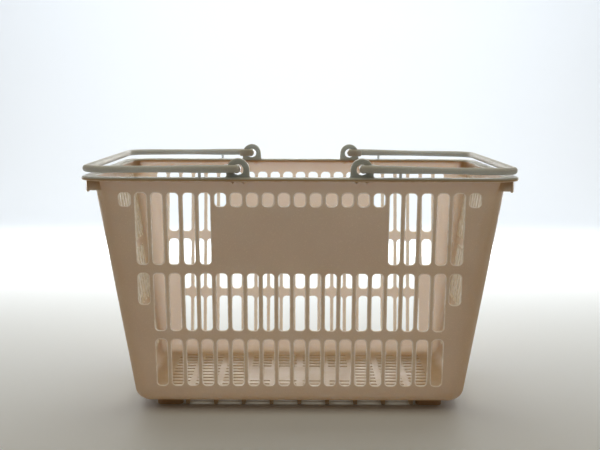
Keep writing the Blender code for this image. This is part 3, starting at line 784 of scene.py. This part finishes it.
def bar_loops(side, droop):
    """Rings round the handle's bar, which droops by that angle from the hinge outward."""
    path = bar_path()
    loops = []
    for i, (x, y, radius) in enumerate(path):
        before, after = Vector(path[max(i - 1, 0)][:2]), Vector(path[min(i + 1, len(path) - 1)][:2])
        across = (after - before).normalized().orthogonal()
        ring = []
        for k in range(BAR_SIDES):
            turn = 2 * pi * k / BAR_SIDES
            place = Vector((x, y)) + across * radius * cos(turn)
            z = HINGE_Z + BAR_ABOVE_HINGE + radius * sin(turn) - place.x * tan(droop)
            ring.append((side * (HINGE_X + place.x), place.y, z))
        loops.append(ring)
    return loops


def add_pin(builder, side, end, _droop):
    """The hinge pin, from inside the key through the ear to inside the bar."""
    turns = [2 * pi * k / BAR_SIDES for k in range(BAR_SIDES)]
    loops = [[(side * HINGE_X + PIN_RADIUS * cos(t), end * y, HINGE_Z + PIN_RADIUS * sin(t)) for t in turns]
             for y in (KEY_FACE - KEY_THICKNESS / 2, BAR_Y)]
    add_loops(builder, loops, True, True)


def add_key(builder, side, end, _droop):
    """The flat locking key on the pin's inner end."""
    rows = [(inset, KEY_FACE - KEY_THICKNESS + depth) for inset, depth in rounding(KEY_EDGE_ROUND)]
    rows += [(inset, KEY_FACE - depth) for inset, depth in reversed(rounding(KEY_EDGE_ROUND))]
    loops = []
    for inset, y in rows:
        outline = rounded_box((-KEY_INWARD, -KEY_HEIGHT / 2), (KEY_OUTWARD, KEY_HEIGHT / 2),
                              KEY_CORNER, SLOT_CORNER_STEPS, -inset)
        loops.append([(side * (HINGE_X + x), end * y, HINGE_Z + z) for x, z in outline])
    add_loops(builder, loops, True, True)


def add_peg(builder, side, end, droop):
    """The small peg that holds the folded handle off the rim."""
    foot = RIM_TOP + PEG_GAP
    top = HINGE_Z + BAR_ABOVE_HINGE - PEG_OUTWARD * tan(droop)
    turns = [2 * pi * k / PEG_SIDES for k in range(PEG_SIDES)]
    loops = []
    for z, shrink in ((foot, PEG_CHAMFER), (foot + PEG_CHAMFER, 0.0), (top, 0.0)):
        radius = PEG_RADIUS - shrink
        loops.append([(side * (HINGE_X + PEG_OUTWARD) + radius * cos(t), end * PEG_Y + radius * sin(t), z)
                      for t in turns])
    add_loops(builder, loops, True, True)


def make_handle(name, side, droop):
    """One handle as one closed mesh: bar, pins, keys and pegs."""
    bar = bmesh.new()
    add_loops(bar, bar_loops(side, droop), True, True)
    handle = link_mesh(name, bar)
    for add in (add_pin, add_key, add_peg):
        builder = bmesh.new()
        for end in (-1, 1):
            add(builder, side, end, droop)
        join_into(handle, builder)
    finish_mesh(handle)
    return handle


# Looks

# Each is the plain colour, the dark of its mottling and the pale of its worn edges
WALL_COLOURS = ((0.53, 0.353, 0.197, 1.0), (0.503, 0.331, 0.181, 1.0), (0.88, 0.74, 0.56, 1.0))
# Painted light: the rim's top and the ears take these greyer, paler colours, standing in for the neutral
# light that falls on them from above and behind
RIM_TOP_LIT_COLOURS = ((0.455, 0.44, 0.38, 1.0), (0.42, 0.405, 0.348, 1.0), (0.566, 0.548, 0.476, 1.0))
HANDLE_COLOURS = ((0.595, 0.58, 0.54, 1.0), (0.555, 0.54, 0.50, 1.0), (0.70, 0.685, 0.645, 1.0))
BODY_ROUGHNESS = 0.40
HANDLE_ROUGHNESS = 0.42
ROUGHNESS_BELOW = 0.07  # how far the roughness drops in its smoothest patches
ROUGHNESS_ABOVE = 0.09  # and rises in its dullest
SCATTER_SHARES = (0.75, 0.85, 0.95)  # how far red, green and blue light spread, as shares of the distance
SCATTER_DISTANCE = 0.017
PLASTIC_IOR = 1.49
SPECK = (1.18, 1.18, 1.18)
# Painted shade: this tint darkens and warms the wall just below the rim, standing in for the rim's shadow
UNDER_RIM_PAINTED_SHADE = (0.86, 0.79, 0.68)
UNDER_RIM_SHADE_HEIGHTS = (UNDER_RIM - 0.018, UNDER_RIM - 0.004)  # heights between which the painted shade under the rim comes in
LIT_TOP_HEIGHTS = (RIM_TOP - 0.0026, RIM_TOP - 0.0010)  # heights between which the rim's greyer, paler painted-light colours come in

# Noise patterns, each by its scale and detail
BLOTCHES = (14.0, 3.0)
STREAKS = (40.0, 2.0, (1.0, 1.0, 0.15))  # drawn out along Z, as the plastic flowed
GRAINS = (700.0, 1.0)
SCUFFS = (120.0, 3.0)
SHEEN = (55.0, 4.0)
FINE_BUMPS = (1100.0, 2.0)
WAVES = (38.0, 2.0)
NOISE_START = 0.3  # the middle of a noise's range, which is the part that it mostly fills
NOISE_STOP = 0.7
STREAK_STRENGTH = 0.35
GRAIN_STRENGTH = 0.4
GRAIN_START = 0.55
GRAIN_STOP = 0.75
SCUFF_LEAST = 0.25
SCUFF_MOST = 0.8
FINE_STRENGTH = 0.25
FINE_HEIGHT = 0.0002
WAVE_STRENGTH = 0.35
WAVE_HEIGHT = 0.0006


def tinted(colour, tint):
    """The colour with each of its parts multiplied, as a socket takes it."""
    return tuple(min(c * share, 1.0) for c, share in zip(colour, tint)) + (1.0,)


def plastic(name, low, top, roughness):
    """Slightly translucent moulded plastic: mottled colour, fine grain, faint flow marks and scuffs, with
    painted shade in a band just under the rim.

    low holds the three colours below the rim's top, and top those from there up; on the body the top colours
    are greyer and paler, painted light standing in for the neutral light on the rim's top and the ears.
    """
    material = bpy.data.materials.new(name)
    material.use_nodes = True
    tree = material.node_tree
    shader = tree.nodes["Principled BSDF"]
    shader.inputs["Subsurface Weight"].default_value = 1.0
    shader.inputs["Subsurface Radius"].default_value = SCATTER_SHARES
    shader.inputs["Subsurface Scale"].default_value = SCATTER_DISTANCE
    shader.inputs["IOR"].default_value = PLASTIC_IOR
    coords = tree.nodes.new("ShaderNodeTexCoord")

    def noise(scale, detail, stretch=(1.0, 1.0, 1.0)):
        mapping = tree.nodes.new("ShaderNodeMapping")
        mapping.inputs["Scale"].default_value = stretch
        node = tree.nodes.new("ShaderNodeTexNoise")
        node.inputs["Scale"].default_value = scale
        node.inputs["Detail"].default_value = detail
        tree.links.new(coords.outputs["Object"], mapping.inputs["Vector"])
        tree.links.new(mapping.outputs["Vector"], node.inputs["Vector"])
        return node.outputs["Fac"]

    def scaled(value, low, high, start=NOISE_START, stop=NOISE_STOP):
        node = tree.nodes.new("ShaderNodeMapRange")
        node.inputs["From Min"].default_value = start
        node.inputs["From Max"].default_value = stop
        node.inputs["To Min"].default_value = low
        node.inputs["To Max"].default_value = high
        tree.links.new(value, node.inputs["Value"])
        return node.outputs["Result"]

    def mixed(factor, first, second):
        node = tree.nodes.new("ShaderNodeMix")
        node.data_type = "RGBA"
        tree.links.new(factor, node.inputs["Factor"])
        for socket, colour in ((node.inputs["A"], first), (node.inputs["B"], second)):
            if isinstance(colour, tuple):
                socket.default_value = colour
            else:
                tree.links.new(colour, socket)
        return node.outputs["Result"]

    def bumped(pattern, strength, depth, under=None):
        node = tree.nodes.new("ShaderNodeBump")
        node.inputs["Strength"].default_value = strength
        node.inputs["Distance"].default_value = depth
        tree.links.new(noise(*pattern), node.inputs["Height"])
        if under is not None:
            tree.links.new(under, node.inputs["Normal"])
        return node.outputs["Normal"]

    blotches = scaled(noise(*BLOTCHES), 0.0, 1.0)
    streaks = scaled(noise(*STREAKS), 0.0, STREAK_STRENGTH)
    grains = scaled(noise(*GRAINS), 0.0, GRAIN_STRENGTH, GRAIN_START, GRAIN_STOP)

    def mottled(plain, dark):
        streaked = mixed(streaks, mixed(blotches, plain, dark), dark)
        return mixed(grains, streaked, tinted(plain, SPECK))

    wear = tree.nodes.new("ShaderNodeAttribute")
    wear.attribute_name = "edge_wear"
    patches = tree.nodes.new("ShaderNodeMath")
    patches.operation = "MULTIPLY"
    tree.links.new(wear.outputs["Fac"], patches.inputs[0])
    tree.links.new(scaled(noise(*SCUFFS), SCUFF_LEAST, SCUFF_MOST), patches.inputs[1])
    scuffs = patches.outputs["Value"]
    height = tree.nodes.new("ShaderNodeSeparateXYZ")
    tree.links.new(coords.outputs["Object"], height.inputs[0])
    # Painted shade under the rim: below these heights the wall's colour mixes toward the darker tint
    rim_shade_mask = scaled(height.outputs["Z"], 0.0, 1.0, *UNDER_RIM_SHADE_HEIGHTS)
    # Painted light: above these heights the rim's paler colours stand in for the light on the rim's top and
    # the ears
    lit_top_mask = scaled(height.outputs["Z"], 0.0, 1.0, *LIT_TOP_HEIGHTS)
    low_plain, low_dark, low_worn = low
    top_plain, top_dark, top_worn = top
    with_rim_shade = mixed(rim_shade_mask, mottled(low_plain, low_dark), tinted(low_plain, UNDER_RIM_PAINTED_SHADE))
    below_top = mixed(scuffs, with_rim_shade, low_worn)
    lit_top_colour = mixed(scuffs, mottled(top_plain, top_dark), top_worn)
    tree.links.new(mixed(lit_top_mask, below_top, lit_top_colour), shader.inputs["Base Color"])
    sheen = scaled(noise(*SHEEN), roughness - ROUGHNESS_BELOW, roughness + ROUGHNESS_ABOVE)
    tree.links.new(sheen, shader.inputs["Roughness"])
    waves = bumped(WAVES, WAVE_STRENGTH, WAVE_HEIGHT)
    tree.links.new(bumped(FINE_BUMPS, FINE_STRENGTH, FINE_HEIGHT, waves), shader.inputs["Normal"])
    return material


# Floor, backdrop and light

STAGE_HALF_WIDTH = 9.0
STAGE_FRONT = -9.0
STAGE_BACK = 2.4
STAGE_CURVE = 0.8
STAGE_HEIGHT = 3.5
STAGE_STEPS = 12
STAGE_PAINT = (0.83, 0.87, 0.94, 1.0)
STAGE_ROUGHNESS = 0.6
WORLD_COLOUR = (1.0, 0.77, 0.55, 1.0)
WORLD_STRENGTH = 0.15
# Each light: name, place, point it faces, width and height, watts, colour
LIGHTS = (
    ("back_low", (0.0, 1.25, 0.24), (0.0, 0.0, 0.20), (2.8, 0.44), 15.0, (1.0, 1.0, 0.96)),
    ("backdrop_low", (0.0, 1.0, 0.24), (0.0, 2.4, 0.26), (2.8, 0.44), 15.0, (1.0, 1.0, 0.98)),
    ("top_soft", (0.0, 0.2, 2.0), (0.0, 0.0, 0.1), (2.4, 2.0), 15.0, (0.86, 0.83, 0.63)),
    ("backdrop_wash", (0.0, 0.9, 1.6), (0.0, 2.4, 0.5), (3.5, 0.6), 19.0, (0.87, 0.96, 1.0)),
)


def make_stage():
    """A pale floor that curves up into a backdrop."""
    section = [(STAGE_FRONT, 0.0)]
    for i in range(STAGE_STEPS + 1):
        turn = pi / 2 * i / STAGE_STEPS
        section.append((STAGE_BACK - STAGE_CURVE + STAGE_CURVE * sin(turn), STAGE_CURVE * (1 - cos(turn))))
    section.append((STAGE_BACK, STAGE_HEIGHT))
    builder = bmesh.new()
    add_loops(builder, [[(x, y, z) for y, z in section] for x in (-STAGE_HALF_WIDTH, STAGE_HALF_WIDTH)],
              closed=False)
    stage = link_mesh("stage", builder)
    for face in stage.data.polygons:
        face.use_smooth = True
    material = bpy.data.materials.new("stage_paint")
    material.use_nodes = True
    shader = material.node_tree.nodes["Principled BSDF"]
    shader.inputs["Base Color"].default_value = STAGE_PAINT
    shader.inputs["Roughness"].default_value = STAGE_ROUGHNESS
    stage.data.materials.append(material)


def add_area(name, place, target, size, power, colour):
    """One soft rectangular light, which the camera doesn't see."""
    data = bpy.data.lights.new(name, "AREA")
    data.shape = "RECTANGLE"
    data.size, data.size_y = size
    data.energy = power
    data.color = colour
    light = bpy.data.objects.new(name, data)
    light.location = place
    light.visible_camera = False
    light.rotation_euler = (Vector(target) - Vector(place)).to_track_quat("-Z", "Y").to_euler()
    bpy.context.scene.collection.objects.link(light)


def add_lights():
    """A dim warm surround, and the four lights."""
    world = bpy.data.worlds.new("studio")
    world.use_nodes = True
    background = world.node_tree.nodes["Background"]
    background.inputs["Color"].default_value = WORLD_COLOUR
    background.inputs["Strength"].default_value = WORLD_STRENGTH
    bpy.context.scene.world = world
    for light in LIGHTS:
        add_area(*light)


add_camera()
bpy.context.scene.view_settings.view_transform = "Standard"
make_stage()
add_lights()

body = make_body()
body.data.materials.append(plastic("body_plastic_look", WALL_COLOURS, RIM_TOP_LIT_COLOURS, BODY_ROUGHNESS))
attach(body, "basket_body")
body_nodes = [name for name, node in frame["nodes"].items() if node["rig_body"] == "basket_body"]
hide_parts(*body_nodes)

for name, side, droop in (("left_handle", -1, LEFT_DROOP), ("right_handle", 1, RIGHT_DROOP)):
    handle = make_handle(name + "_moulding", side, droop)
    handle.data.materials.append(plastic(name + "_look", HANDLE_COLOURS, HANDLE_COLOURS, HANDLE_ROUGHNESS))
    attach(handle, name + "_body")
    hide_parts(name)
